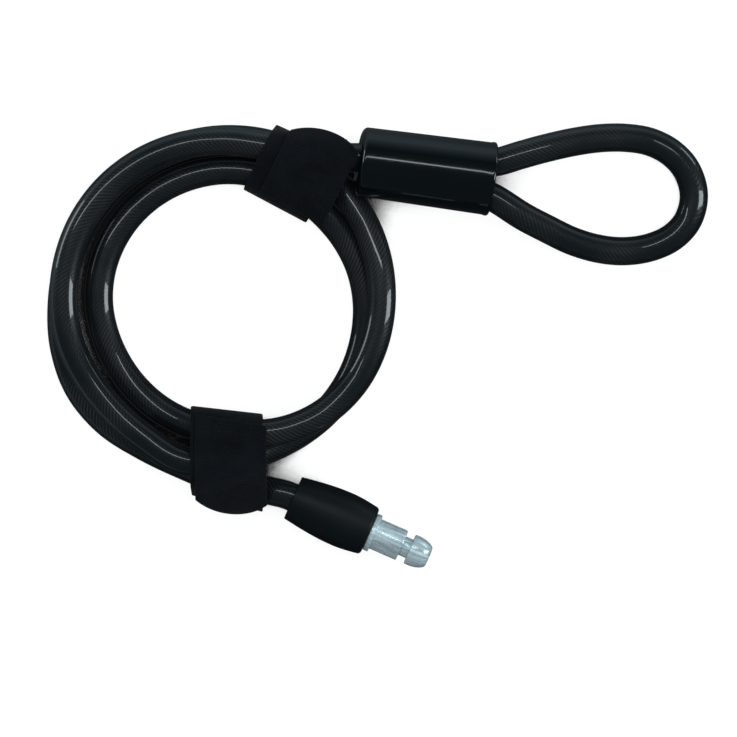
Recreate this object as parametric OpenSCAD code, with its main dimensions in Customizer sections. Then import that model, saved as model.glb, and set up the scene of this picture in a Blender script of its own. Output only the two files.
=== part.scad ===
// Cable lock: a sheathed wire rope laid up in two and a half turns, with a crimped eye under a hard
// cover at one end, a steel plug pin in a moulded boot at the other, and two hook-and-loop straps.
// Millimetres. +Z is up, and the origin is on the surface it lies on, at the middle of its outline.

/* [Cable] */
// Outer diameter of the plastic sheath
cable_d = 12; // [11:0.1:12]
// Diameter of the wire rope inside the sheath
rope_d = 7.8; // [6:0.1:8.4]
// Play between the rope and the bore of its sheath, on the diameter
rope_play = 0.4; // [0.3:0.1:0.8]

/* [Crimp ferrule and cover] */
// Length of the cover
cover_l = 57.3; // [54:0.1:62]
// Outer diameter of the cover at the end where the single cable enters
cover_d_in = 29.2; // [28.4:0.1:31]
// Outer diameter of the cover at the end where the eye leaves
cover_d_eye = 31.2; // [30.6:0.1:33]
// Wall of the cover
cover_wall = 1.8; // [1.2:0.1:2]
// Height of the lip round the eye end of the cover
lip_h = 0.4; // [0.2:0.1:0.8]
// Width of the lip round the eye end of the cover
lip_w = 2; // [1:0.1:3]
// Length of the crimp ferrule
ferrule_l = 23; // [20:0.5:24]
// Spacing of the ferrule's two rope bores
bore_pitch = 11.2; // [10.8:0.1:11.6]
// Play between the ferrule and the cover, on the diameter
ferrule_play = 0.4; // [0.3:0.1:0.8]

/* [Boot] */
// Length of the boot
boot_l = 35.4; // [33:0.1:38]
// Diameter of the boot at the cable
boot_d_rear = 19.2; // [18:0.1:20]
// Largest diameter of the boot
boot_d_max = 23.6; // [23:0.1:25]
// Diameter of the boot's face at the pin
boot_d_face = 21.4; // [20:0.1:22]

/* [Plug pin] */
// Diameter of the flange that seats on the boot
flange_d = 16.4; // [15.6:0.1:18]
// Thickness of the flange
flange_l = 2.3; // [1.8:0.1:3]
// Diameter of the shank
shank_d = 13.4; // [12.8:0.1:14]
// Length of the shank
shank_l = 12.3; // [11:0.1:14]
// Diameter of the locking groove
neck_d = 8.4; // [7.4:0.1:9]
// Length of the locking groove
neck_l = 3.6; // [3:0.1:5]
// Largest diameter of the head
head_d = 13.2; // [12:0.1:13.2]
// Length of the head
head_l = 8.8; // [8:0.1:10]
// Diameter of the nose
nose_d = 6.8; // [5:0.1:8]
// Diameter of the barrel that is crimped on the rope
barrel_d = 13; // [12:0.1:13.6]
// Length of the barrel
barrel_l = 22; // [20:0.5:24]

/* [Straps] */
// Width of the strap tape
strap_w = 30; // [28:0.5:32]
// Thickness of the strap tape
strap_t = 1.2; // [0.9:0.1:1.2]
// Thickness of the hook pads
pad_t = 0.8; // [0.6:0.1:1]
// Radius of the lower strap's tip
lower_tip_r = 20; // [18:0.5:24]
// Radius of the upper strap's tip
upper_tip_r = 22; // [18:0.5:24]
// Length of the lower strap's tail
lower_tail_l = 46; // [44:0.5:48]
// Length of the upper strap's tail
upper_tail_l = 42; // [40:0.5:43]

/* [Hidden] */

// Clearances
seat_gap = 0.1;       // between pieces that butt together
sewn_gap = 0.05;      // between a hook pad and the tape it is sewn to
move_gap = 0.3;       // between a tail and what it lies on
cable_gap = 0.4;      // between the cable and the boot, the cover and the straps

// Fineness: sides of the cable's section, rings in one turn, points on a strap's corner
sides = 6;
turn_rings = 24;
corner_steps = 4;
band_rows = 4;
tail_steps = 14;
tail_rows = 8;
fine = 72;

// ---- small functions ----
function unit(v) = v / norm(v);
function sum(v, i = 0) = i >= len(v) ? 0 : v[i] + sum(v, i + 1);
function flip(v) = [for (i = [len(v) - 1 : -1 : 0]) v[i]];

// ---- the coil's route ----
coil_mid = [-64.2, 17.3];
// Stations [angle, distance from the coil's centre, height of the cable's axis], counter-clockwise from
// the cover. The turns lie beside and over each other, and pass over the strap's tape at 63 and 270 degrees.
stations = [
    [75, 68.0, 20.6], [86, 67.8, 20.4], [97, 68.0, 18.8], [112, 68.6, 17.5], [140, 69.0, 17.4],
    [165, 68.3, 17.4], [192, 67.2, 17.4], [209, 65.8, 17.4], [224, 65.2, 17.6], [240, 66.0, 18.8],
    [250, 67.8, 20.2], [258, 69.0, 20.8], [264, 68.2, 20.4], [270, 66.8, 17.8], [278, 65.4, 12.6],
    [287, 64.2, 8.8], [300, 63.2, 5.8], [315, 62.5, 4.8], [340, 60.8, 4.8], [369, 59.1, 4.8],
    [390, 57.2, 5.3], [401, 56.2, 6.7], [409, 56.0, 7.6], [440, 56.3, 7.6], [454, 56.0, 6.0],
    [468, 55.6, 4.8], [500, 54.8, 4.8], [534, 53.7, 4.8], [560, 52.3, 4.8], [578, 52.0, 5.6], [596, 52.4, 8.0],
    [610, 53.0, 11.6], [624, 53.4, 16.6], [631, 53.6, 19.6], [638, 55.0, 21.8], [647, 57.4, 22.4],
    [660, 60.0, 21.2], [675, 62.5, 18.6], [690, 64.2, 17.6], [710, 65.4, 17.4], [728, 66.3, 16.4],
    [745, 67.5, 13.7], [758, 68.1, 11.2], [770, 69.1, 9.1], [782, 69.8, 8.0], [795, 69.6, 7.6],
    [808, 69.2, 7.2], [824, 68.8, 4.8], [860, 68.6, 4.8], [890, 68.6, 4.8], [908, 69.8, 4.8],
    [922, 71.4, 4.8], [934, 71.7, 4.8], [948, 70.8, 5.0], [964, 69.4, 6.8], [978, 71.2, 7.6],
    [990, 75.4, 7.9]];
last = len(stations) - 1;

// Slope of column c at station i, and its smooth value at an angle (a cubic between two stations)
function slope(i, c) =
    let (a = max(i - 1, 0), b = min(i + 1, last))
    (stations[b][c] - stations[a][c]) / (stations[b][0] - stations[a][0]);
function before(angle, i = 0) = i >= last - 1 || stations[i + 1][0] > angle ? i : before(angle, i + 1);
function along_coil(angle, c) =
    let (i = before(angle), h = stations[i + 1][0] - stations[i][0], t = (angle - stations[i][0]) / h)
    (2 * t ^ 3 - 3 * t ^ 2 + 1) * stations[i][c] + (t ^ 3 - 2 * t ^ 2 + t) * h * slope(i, c)
    + (3 * t ^ 2 - 2 * t ^ 3) * stations[i + 1][c] + (t ^ 3 - t ^ 2) * h * slope(i + 1, c);
function coil_at(angle) =
    let (r = along_coil(angle, 1))
    [coil_mid[0] + r * cos(angle), coil_mid[1] + r * sin(angle), along_coil(angle, 2)];
coil_route = [for (angle = [stations[0][0] : 360 / turn_rings : stations[last][0]]) coil_at(angle)];

// ---- the cover's place ----
cover_mid = [20, 73];
cover_turn = -7.5;
cover_tilt = 4.7;     // its entry end is up, on the turns
cover_z = cover_d_eye / 2 * cos(cover_tilt) + cover_l / 2 * sin(cover_tilt);
bore_y = bore_pitch / 2;
ferrule_from = -8;
ferrule_to = ferrule_from + ferrule_l;
// A point on the cover's level plane: along its axis towards the eye, and across
function cover_at(along, across) =
    [cover_mid[0] + along * cos(cover_tilt) * cos(cover_turn) - across * sin(cover_turn),
     cover_mid[1] + along * cos(cover_tilt) * sin(cover_turn) + across * cos(cover_turn),
     cover_z - along * sin(cover_tilt)];
module on_cover() {
    translate([cover_mid[0], cover_mid[1], cover_z]) rotate([0, cover_tilt, cover_turn]) children();
}

// ---- the boot's place ----
boot_face = [-3.2, -78.9];
boot_turn = -23.7;
boot_z = boot_d_max / 2;
// A point on the boot's axis, from its face towards the pin
function boot_at(along) =
    [boot_face[0] + along * cos(boot_turn), boot_face[1] + along * sin(boot_turn), boot_z];
module on_boot() {
    translate([boot_face[0], boot_face[1], boot_z]) rotate([0, 90, boot_turn]) children();
}

// ---- routes ----
// From the ferrule to the coil, from the coil into the boot, and round the eye
lead_in = [cover_at(-13, 4.6), cover_at(-20, 3.1), cover_at(-28.5, 1.6), cover_at(-36, 0.8),
           [-24.6, 79.2, 20.8], [-34.5, 80.9, 20.9]];
lead_out = [[-50.6, -60.7, 8.6], [-44.5, -62, 10.4], boot_at(-boot_l - 3), boot_at(-30),
            boot_at(-barrel_l - seat_gap)];
eye_route = [cover_at(18.5, 6.2), cover_at(24, 6.6), cover_at(30, 7.6), [60, 79.4, 14.6], [70, 82.2, 13.2],
             [82, 85, 11], [94, 86.8, 8.8], [105, 87, 6.6], [115, 85.4, 5], [124, 80.8, 4.8],
             [130.6, 73.4, 4.8], [133.6, 63, 4.8], [131.2, 52.6, 4.8], [124.6, 45.2, 4.8],
             [115, 40.8, 5], [104, 39.2, 6.6], [93, 40.2, 8.8], [82, 43.4, 11], [71, 48.6, 13.2],
             [61, 53.8, 14.6], cover_at(30, -7.6), cover_at(24, -6.6), cover_at(18.5, -6.2)];
main_route = concat(lead_in, coil_route, lead_out);
rope_route = concat([boot_at(-2.5)], flip(main_route), [cover_at(ferrule_from, bore_y)],
                    [cover_at(ferrule_to, bore_y)], eye_route, [cover_at(ferrule_to, -bore_y)],
                    [cover_at(ferrule_from - 1.5, -bore_y)]);

// ---- a tube along a route ----
// Each ring is a polygon square to the route with a flat side down, and no point is below the surface
// that the lock lies on
function heading(p, i) = unit(p[min(i + 1, len(p) - 1)] - p[max(i - 1, 0)]);
function ring(p, i, r, floor) =
    let (t = heading(p, i), side = unit(cross([0, 0, 1], t)), up = cross(t, side))
    [for (k = [0 : sides - 1])
        let (a = 360 * (k + 0.5) / sides - 90, q = p[i] + r * (cos(a) * side + sin(a) * up))
        [q[0], q[1], max(q[2], floor)]];
function rings(p, r, floor) = [for (i = [0 : len(p) - 1]) each ring(p, i, r, floor)];
// The wall between ring i and the next, as two triangles a side, from point number f
function wall(rows, f, out) =
    [for (i = [0 : rows - 2]) for (k = [0 : sides - 1])
        let (a = f + i * sides + k, b = f + i * sides + (k + 1) % sides, c = a + sides, d = b + sides)
        each out ? [[a, c, d], [a, d, b]] : [[a, d, c], [a, b, d]]];
function cap(f, out) =
    [for (k = [1 : sides - 2]) out ? [f, f + k, f + k + 1] : [f, f + k + 1, f + k]];
function rim(f, g, out) =
    [for (k = [0 : sides - 1])
        let (a = f + k, b = f + (k + 1) % sides, c = g + k, d = g + (k + 1) % sides)
        each out ? [[a, b, d], [a, d, c]] : [[a, d, b], [a, c, d]]];

module rod(p, d) {
    n = len(p);
    polyhedron(rings(p, d / 2, 0),
               concat(wall(n, 0, true), cap(0, true), cap((n - 1) * sides, false)));
}

module pipe(p, d, bore) {
    n = len(p);
    polyhedron(concat(rings(p, d / 2, 0), rings(p, bore / 2, 0)),
               concat(wall(n, 0, true), wall(n, n * sides, false),
                      rim(0, n * sides, true),
                      rim((n - 1) * sides, (2 * n - 1) * sides, false)));
}

// ---- the cable's least gap to itself ----
// Distance from a point to a stretch, over all stretches at least three rings away along the cable
function to_stretch(q, a, b) =
    let (t = max(0, min(1, ((q - a) * (b - a)) / ((b - a) * (b - a)))))
    norm(q - a - t * (b - a));
function between(a, b, n) = [for (k = [0 : n - 1]) a + (b - a) * k / n];
function least_gap(p) =
    min([for (i = [0 : len(p) - 5]) for (j = [i + 3 : len(p) - 2])
        min([for (q = between(p[i], p[i + 1], 4)) to_stretch(q, p[j], p[j + 1])])]) - cable_d;
echo(least_gap_of_coil = least_gap(main_route));
function length_of(p) = sum([for (i = [1 : len(p) - 1]) norm(p[i] - p[i - 1])]);
echo(cable_length = length_of(rope_route));

// ---- the straps' sections ----
// A section is a belt round four corners [outwards, up], in this order: inner foot, outer foot, outer
// top, inner top. Each strap has its corners at its two edges, and they change evenly in between.
belt_r = cable_d / 2 + cable_gap;
foot = strap_t + belt_r;
tail_r = belt_r + strap_t + move_gap + pad_t;
tail_run = 60;        // straight run of a tail's line, longer than any tail
lower_at = [-63.4, 0, 180];
lower_shift = -2;
lower_band = [[[37.0, foot], [63.2, foot], [47.0, 22.4], [37.0, 22.8]],
              [[33.6, foot], [56.2, foot], [53.5, 21.0], [33.6, 17.4]]];
lower_tail = [[[37.0, foot], [63.2, 8.4], [47.0, 22.4], [37.0, 22.8]],
              [[33.6, foot], [70.0, 6.8], [53.5, 21.0], [33.6, 17.4]]];
upper_at = [coil_mid[0], coil_mid[1], -27];
upper_shift = 7;
upper_band = [[[53.7, foot], [69.3, foot], [66.4, 21.7], [54.2, 9.8]],
              [[53.2, foot], [70.6, foot], [76.9, 21.2], [53.2, 10.2]]];
upper_tail = [[[53.7, foot], [80.0, 11.0], [66.4, 21.7], [54.2, 9.8]],
              [[53.2, foot], [91.0, 10.0], [76.9, 21.2], [53.2, 10.2]]];

function section(pair, across) =
    let (t = across / strap_w + 0.5) [for (i = [0 : 3]) pair[0][i] * (1 - t) + pair[1][i] * t];
// Direction of the belt's outward normal along the side that leaves corner i
function normal_after(c, i) =
    let (v = c[(i + 1) % 4] - c[i % 4]) atan2(v[1], v[0]) - 90;
function corner(c, i, r) =
    let (a = normal_after(c, i + 3), b = normal_after(c, i), turn = b < a ? b + 360 - a : b - a)
    [for (k = [0 : corner_steps])
        let (w = a + turn * k / corner_steps) c[i] + r * [cos(w), sin(w)]];
function belt(c, r) = [for (i = [0 : 3]) each corner(c, i, r)];

// The line of a tail: from its root at the inner top corner over the top and on towards the outer foot
function tail_line(c, r) =
    let (over = flip(corner(c, 2, r)), out = unit(c[1] - c[2]), end = over[corner_steps])
    concat([corner(c, 3, r)[1], corner(c, 3, r)[0]], over, [end + tail_run * out]);
function walk(line, s, i = 0) =
    let (step = norm(line[i + 1] - line[i]))
    s <= step || i >= len(line) - 2 ? line[i] + (line[i + 1] - line[i]) * s / step
                                    : walk(line, s - step, i + 1);
function tip_cut(across, r) = r - sqrt(r * r - across * across);

module on_strap(at) {
    translate([at[0], at[1], 0]) rotate([0, 0, at[2]]) children();
}

// Two triangles for each cell of a grid of points with m to a row, from point number f
function cells(f, rows, m, closed, out) =
    [for (i = [0 : rows - 1]) for (j = [0 : m - (closed ? 1 : 2)])
        let (p = f + i * m + j, q = f + i * m + (j + 1) % m, u = p + m, v = q + m)
        each out ? [[p, q, v], [p, v, u]] : [[p, v, q], [p, u, v]]];
// Two triangles for each step of the strip between two rows of point numbers
function strip(a, b) =
    [for (k = [0 : len(a) - 2]) each [[a[k], a[k + 1], b[k + 1]], [a[k], b[k + 1], b[k]]]];
function row(f, step, count) = [for (k = [0 : count - 1]) f + k * step];

module strap_band(pair) {
    m = 4 * (corner_steps + 1);
    n = m * (band_rows + 1);
    function loops(r) =
        [for (i = [0 : band_rows])
            let (x = strap_w * (i / band_rows - 0.5))
            for (q = belt(section(pair, x), r)) [x, q[0], q[1]]];
    function end(f) = concat(row(f, 1, m), [f]);
    polyhedron(concat(loops(belt_r + strap_t), loops(belt_r)),
               concat(cells(0, band_rows, m, true, false), cells(n, band_rows, m, true, true),
                      strip(end(0), end(n)), strip(end(2 * n - m), end(n - m))));
}

// A patch of a tail between two radii of the belt: its rows i0 to i1 across and columns j0 to j1 along.
// Its root dips by dip towards the tape under it, and its tip is round.
module flap(pair, shift, long, tip_r, r, t, i0, i1, j0, j1, dip) {
    m = j1 - j0 + 1;
    rows = i1 - i0;
    n = (rows + 1) * m;
    function cell(i, j, radius) =
        let (x = strap_w * (i / tail_rows - 0.5), s = (long - tip_cut(x, tip_r)) * j / tail_steps,
             q = walk(tail_line(section(pair, x + shift), radius - dip * max(0, 1 - j / 2)), s))
        [x + shift, q[0], q[1]];
    function face(radius) = [for (i = [i0 : i1]) for (j = [j0 : j1]) cell(i, j, radius)];
    polyhedron(concat(face(r), face(r + t)),
               concat(cells(0, rows, m, false, false), cells(n, rows, m, false, true),
                      strip(row(0, 1, m), row(n, 1, m)),
                      strip(row(2 * n - m, 1, m), row(n - m, 1, m)),
                      strip(row(n, m, rows + 1), row(0, m, rows + 1)),
                      strip(row(m - 1, m, rows + 1), row(n + m - 1, m, rows + 1))));
}

module strap_tail(pair, shift, long, tip_r) {
    flap(pair, shift, long, tip_r, tail_r, strap_t, 0, tail_rows, 0, tail_steps, pad_t);
}

module hook_pad(pair, shift, long, tip_r) {
    flap(pair, shift, long, tip_r, tail_r - pad_t, pad_t - sewn_gap,
         1, tail_rows - 1, tail_steps / 2, tail_steps - 1, 0);
}

// ---- the pieces ----
module main_sheath() {
    color([0.09, 0.09, 0.1]) pipe(main_route, cable_d, rope_d + rope_play);
}

module eye_sheath() {
    color([0.09, 0.09, 0.1]) pipe(eye_route, cable_d, rope_d + rope_play);
}

module wire_rope() {
    color([0.5, 0.5, 0.52]) rod(rope_route, rope_d);
}

cover_bore = cover_d_in - 2 * cover_wall;
cover_bore_eye = cover_d_eye - 2 * cover_wall;
entry_wall = 3;

// Crimped sleeve with a bore for each side of the rope
module ferrule() {
    color([0.62, 0.63, 0.65]) on_cover()
        difference() {
            translate([ferrule_from, 0, 0]) rotate([0, 90, 0])
                cylinder(h = ferrule_l, d = cover_bore - ferrule_play, $fn = fine);
            for (side = [-1, 1])
                translate([ferrule_from - 1, side * bore_y, 0]) rotate([0, 90, 0])
                    cylinder(h = ferrule_l + 2, d = rope_d + rope_play, $fn = fine);
        }
}

// Hard cover: a slightly tapered tube, closed round the single cable and open to the eye
module ferrule_cover() {
    half = cover_l / 2;
    edge = 4.4;
    color([0.03, 0.03, 0.035]) on_cover()
        difference() {
            rotate([0, 90, 0]) rotate_extrude($fn = fine)
                difference() {
                    union() {
                        polygon(concat(
                            [[0, -half]],
                            [for (a = [-90 : 15 : 0])
                                [cover_d_in / 2 - edge + edge * cos(a), edge - half + edge * sin(a)]],
                            [[cover_d_eye / 2 - lip_h, half - lip_w], [cover_d_eye / 2, half - lip_w + lip_h],
                             [cover_d_eye / 2, half - lip_h], [cover_d_eye / 2 - lip_h, half], [0, half]]));
                    }
                    polygon([[0, entry_wall - half], [cover_bore / 2, entry_wall - half],
                             [cover_bore / 2, ferrule_to], [cover_bore_eye / 2, half + 1], [0, half + 1]]);
                }
            translate([-half + entry_wall / 2, 1.6, 0]) rotate([0, 90, 8])
                cylinder(h = 3 * entry_wall, d = cable_d + 2 * cable_gap, center = true, $fn = fine);
        }
}

// Moulded boot: barrel-shaped outside, bored for the cable behind and for the pin's barrel in front
module plug_boot() {
    edge = 1.6;
    socket_l = barrel_l + 2 * seat_gap;
    peak = 0.64 * boot_l;
    rear_r = boot_d_rear / 2;
    swell = (boot_d_max - boot_d_rear) / 2;
    fall = (boot_d_max - boot_d_face) / 2;
    color([0.05, 0.05, 0.055]) on_boot()
        difference() {
            rotate_extrude($fn = fine)
                polygon(concat(
                    [[0, -boot_l], [rear_r - 0.5, -boot_l]],
                    [for (k = [0 : 8]) [rear_r + swell * sin(90 * k / 8), 0.5 - boot_l + (peak - 0.5) * k / 8]],
                    [for (k = [1 : 5])
                        [rear_r + swell - fall * (1 - cos(90 * k / 5)), peak - boot_l + (boot_l - peak - edge) * k / 5]],
                    [for (a = [15 : 15 : 90])
                        [boot_d_face / 2 - edge + edge * cos(a), edge * sin(a) - edge]],
                    [[0, 0]]));
            translate([0, 0, -boot_l - 1])
                cylinder(h = boot_l, d = cable_d + 2 * cable_gap, $fn = fine);
            translate([0, 0, -socket_l])
                cylinder(h = socket_l + 1, d = barrel_d + 2 * seat_gap, $fn = fine);
        }
}

// Turned plug pin: barrel, flange, shank, locking groove and mushroom head
module plug_pin() {
    shank_from = seat_gap + flange_l;
    neck_from = shank_from + shank_l;
    head_from = neck_from + neck_l;
    tip = head_from + head_l;
    bevel = 0.5;
    color([0.75, 0.77, 0.8]) on_boot()
        difference() {
            rotate_extrude($fn = fine)
                polygon([[0, -barrel_l], [barrel_d / 2 - bevel, -barrel_l], [barrel_d / 2, bevel - barrel_l],
                         [barrel_d / 2, seat_gap], [flange_d / 2 - 0.3, seat_gap], [flange_d / 2, seat_gap + 0.3],
                         [flange_d / 2, shank_from - 0.3], [flange_d / 2 - 0.3, shank_from],
                         [shank_d / 2, shank_from], [shank_d / 2, neck_from - bevel],
                         [shank_d / 2 - bevel, neck_from], [neck_d / 2, neck_from], [neck_d / 2, head_from],
                         [head_d / 2 - bevel, head_from], [head_d / 2, head_from + bevel],
                         [head_d / 2, head_from + 2.2], [nose_d / 2 + 0.6, tip - 1],
                         [nose_d / 2 - 0.6, tip], [0, tip]]);
            translate([0, 0, -barrel_l - 1]) cylinder(h = barrel_l - 0.9, d = rope_d + rope_play, $fn = fine);
        }
}

// The two ends of each tail's root line, which it peels about
function root_at(pair, x) = let (q = corner(section(pair, x), 3, tail_r - pad_t)[1]) [x, q[0], q[1]];
echo(lower_root = [for (side = [-1, 1]) root_at(lower_tail, side * strap_w / 2 + lower_shift)]);
echo(upper_root = [for (side = [-1, 1]) root_at(upper_tail, side * strap_w / 2 + upper_shift)]);

module upper_strap_band() {
    color([0.07, 0.07, 0.075]) on_strap(upper_at) strap_band(upper_band);
}

module upper_strap_tail() {
    color([0.1, 0.1, 0.105])
        on_strap(upper_at) strap_tail(upper_tail, upper_shift, upper_tail_l, upper_tip_r);
}

module upper_hook_pad() {
    color([0.14, 0.14, 0.145])
        on_strap(upper_at) hook_pad(upper_tail, upper_shift, upper_tail_l, upper_tip_r);
}

module lower_strap_band() {
    color([0.07, 0.07, 0.075]) on_strap(lower_at) strap_band(lower_band);
}

module lower_strap_tail() {
    color([0.1, 0.1, 0.105])
        on_strap(lower_at) strap_tail(lower_tail, lower_shift, lower_tail_l, lower_tip_r);
}

module lower_hook_pad() {
    color([0.14, 0.14, 0.145])
        on_strap(lower_at) hook_pad(lower_tail, lower_shift, lower_tail_l, lower_tip_r);
}

main_sheath();
eye_sheath();
wire_rope();
ferrule();
ferrule_cover();
plug_boot();
plug_pin();
upper_strap_band();
upper_strap_tail();
upper_hook_pad();
lower_strap_band();
lower_strap_tail();
lower_hook_pad();
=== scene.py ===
"""Cable lock: its looks, built piece by piece round the CAD frame."""

import bmesh
import bpy
import numpy as np
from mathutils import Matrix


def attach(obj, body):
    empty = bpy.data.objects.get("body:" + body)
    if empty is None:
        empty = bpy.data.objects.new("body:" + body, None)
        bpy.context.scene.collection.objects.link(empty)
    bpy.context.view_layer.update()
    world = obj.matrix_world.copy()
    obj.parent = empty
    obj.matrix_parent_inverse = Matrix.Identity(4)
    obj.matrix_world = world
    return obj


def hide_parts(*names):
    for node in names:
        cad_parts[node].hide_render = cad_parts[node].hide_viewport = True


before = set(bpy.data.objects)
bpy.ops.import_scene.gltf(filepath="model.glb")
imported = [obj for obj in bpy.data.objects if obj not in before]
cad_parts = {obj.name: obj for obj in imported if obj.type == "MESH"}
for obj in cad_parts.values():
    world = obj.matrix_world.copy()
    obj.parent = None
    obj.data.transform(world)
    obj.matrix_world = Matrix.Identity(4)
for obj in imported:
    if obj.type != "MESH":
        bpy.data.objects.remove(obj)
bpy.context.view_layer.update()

bl_info = {
    "name": "Cable lock",
    "version": (1, 0, 0),
    "blender": (4, 5, 0),
    "location": "View3D > Sidebar > Cable lock",
    "description": "Builds a coiled cable lock, its straps, its eye and its plug pin",
    "category": "Add Mesh",
}

MM = 0.001
UV = "surface"

# -------------------- sizes and colours


class CableLockSizes(bpy.types.PropertyGroup):
    """Sizes that change the look of the lock's pieces."""

    cable_diameter: bpy.props.FloatProperty(
        name="Cable", description="Outer diameter of the sheath",
        default=0.012, min=0.011, max=0.012, unit="LENGTH")
    rope_diameter: bpy.props.FloatProperty(
        name="Rope", description="Diameter of the wire rope in the sheath",
        default=0.0078, min=0.006, max=0.0084, unit="LENGTH")
    rope_lead: bpy.props.FloatProperty(
        name="Lay", description="Length in which a strand of the rope goes round once",
        default=0.034, min=0.02, max=0.08, unit="LENGTH")
    tape_width: bpy.props.FloatProperty(
        name="Tape", description="Width of the straps",
        default=0.030, min=0.028, max=0.032, unit="LENGTH")
    tape_thickness: bpy.props.FloatProperty(
        name="Tape thickness", description="Thickness of the straps",
        default=0.0012, min=0.0009, max=0.0012, unit="LENGTH")
    rib_pitch: bpy.props.FloatProperty(
        name="Rib pitch", description="Distance between the cross ribs woven into the tape",
        default=0.0009, min=0.0005, max=0.002, unit="LENGTH")
    hook_pitch: bpy.props.FloatProperty(
        name="Hook pitch", description="Distance between the hooks of the pads",
        default=0.0014, min=0.001, max=0.003, unit="LENGTH")


class CableLockColours(bpy.types.PropertyGroup):
    """Colours of the lock's materials."""

    sheath: bpy.props.FloatVectorProperty(
        name="Sheath", description="Smoky plastic over the rope",
        subtype="COLOR", size=3, default=(0.0040, 0.0055, 0.0068))
    strand: bpy.props.FloatVectorProperty(
        name="Strands", description="The rope as it shows through the sheath",
        subtype="COLOR", size=3, default=(0.030, 0.0285, 0.029))
    cover: bpy.props.FloatVectorProperty(
        name="Cover", description="Hard cover over the crimp",
        subtype="COLOR", size=3, default=(0.0011, 0.0018, 0.0024))
    boot: bpy.props.FloatVectorProperty(
        name="Boot", description="Moulded boot behind the pin",
        subtype="COLOR", size=3, default=(0.0022, 0.0033, 0.0044))
    steel: bpy.props.FloatVectorProperty(
        name="Plating", description="Bright plating of the pin",
        subtype="COLOR", size=3, default=(0.77, 0.95, 1.0))
    tape: bpy.props.FloatVectorProperty(
        name="Tape", description="Woven straps",
        subtype="COLOR", size=3, default=(0.0030, 0.0040, 0.0054))
    thread: bpy.props.FloatVectorProperty(
        name="Thread", description="Sewing thread",
        subtype="COLOR", size=3, default=(0.0026, 0.0034, 0.0044))


# -------------------- places, in millimetres

# Stations of the coil: [angle, distance from its centre, height of the cable's axis]
STATIONS = np.array([
    (75, 68.0, 20.6), (86, 67.8, 20.4), (97, 68.0, 18.8), (112, 68.6, 17.5), (140, 69.0, 17.4),
    (165, 68.3, 17.4), (192, 67.2, 17.4), (209, 65.8, 17.4), (224, 65.2, 17.6), (240, 66.0, 18.8),
    (250, 67.8, 20.2), (258, 69.0, 20.8), (264, 68.2, 20.4), (270, 66.8, 17.8), (278, 65.4, 12.6),
    (287, 64.2, 8.8), (300, 63.2, 5.8), (315, 62.5, 4.8), (340, 60.8, 4.8), (369, 59.1, 4.8),
    (390, 57.2, 5.3), (401, 56.2, 6.7), (409, 56.0, 7.6), (440, 56.3, 7.6), (454, 56.0, 6.0),
    (468, 55.6, 4.8), (500, 54.8, 4.8), (534, 53.7, 4.8), (560, 52.3, 4.8), (578, 52.0, 5.6),
    (596, 52.4, 8.0), (610, 53.0, 11.6), (624, 53.4, 16.6), (631, 53.6, 19.6), (638, 55.0, 21.8),
    (647, 57.4, 22.4), (660, 60.0, 21.2), (675, 62.5, 18.6), (690, 64.2, 17.6), (710, 65.4, 17.4),
    (728, 66.3, 16.4), (745, 67.5, 13.7), (758, 68.1, 11.2), (770, 69.1, 9.1), (782, 69.8, 8.0),
    (795, 69.6, 7.6), (808, 69.2, 7.2), (824, 68.8, 4.8), (860, 68.6, 4.8), (890, 68.6, 4.8),
    (908, 69.8, 4.8), (922, 71.4, 4.8), (934, 71.7, 4.8), (948, 70.8, 5.0), (964, 69.4, 6.8),
    (978, 71.2, 7.6), (990, 75.4, 7.9)], float)
RING_STEP = 15.0
COIL_MID = np.array([-64.2, 17.3])

COVER_L, COVER_D_IN, COVER_D_EYE, COVER_WALL = 57.3, 29.2, 31.2, 1.8
COVER_MID, COVER_TURN, COVER_TILT = np.array([20.0, 73.0]), np.radians(-7.5), np.radians(4.7)
COVER_Z = COVER_D_EYE / 2 * np.cos(COVER_TILT) + COVER_L / 2 * np.sin(COVER_TILT)

BOOT_L, BOOT_D_REAR, BOOT_D_MAX, BOOT_D_FACE = 35.4, 19.2, 23.6, 21.4
BOOT_FACE, BOOT_TURN = np.array([-3.2, -78.9]), np.radians(-23.7)
BARREL_D, BARREL_L, SEAT_GAP = 13.0, 22.0, 0.1

# Radius of the sheath's hollow for the rope, in metres
ROPE_BORE = 4.1 * MM


def cover_at(along, across=0.0, up=0.0):
    """A point of the cover: along its tilted axis towards the eye, level across it, and square to both."""
    ct, st, ca, sa = np.cos(COVER_TURN), np.sin(COVER_TURN), np.cos(COVER_TILT), np.sin(COVER_TILT)
    return np.stack(np.broadcast_arrays(
        COVER_MID[0] + (along * ca + up * sa) * ct - across * st,
        COVER_MID[1] + (along * ca + up * sa) * st + across * ct,
        COVER_Z - along * sa + up * ca), -1)


def boot_at(along, across=0.0, up=0.0):
    """A point of the boot: along its level axis from its face towards the pin, across it, and up."""
    ct, st = np.cos(BOOT_TURN), np.sin(BOOT_TURN)
    return np.stack(np.broadcast_arrays(
        BOOT_FACE[0] + along * ct - across * st,
        BOOT_FACE[1] + along * st + across * ct,
        BOOT_D_MAX / 2 + up), -1)


def through(knots, values, at):
    """The cubic through values at knots whose slope at each is that of the chord between its neighbours."""
    ahead = np.minimum(np.arange(len(knots)) + 1, len(knots) - 1)
    behind = np.maximum(np.arange(len(knots)) - 1, 0)
    slopes = (values[ahead] - values[behind]) / (knots[ahead] - knots[behind])[:, None]
    i = np.clip(np.searchsorted(knots, at, side="right") - 1, 0, len(knots) - 2)
    h = (knots[i + 1] - knots[i])[:, None]
    t = (at - knots[i])[:, None] / h
    return ((2 * t ** 3 - 3 * t ** 2 + 1) * values[i] + (t ** 3 - 2 * t ** 2 + t) * h * slopes[i]
            + (3 * t ** 2 - 2 * t ** 3) * values[i + 1] + (t ** 3 - t ** 2) * h * slopes[i + 1])


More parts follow.
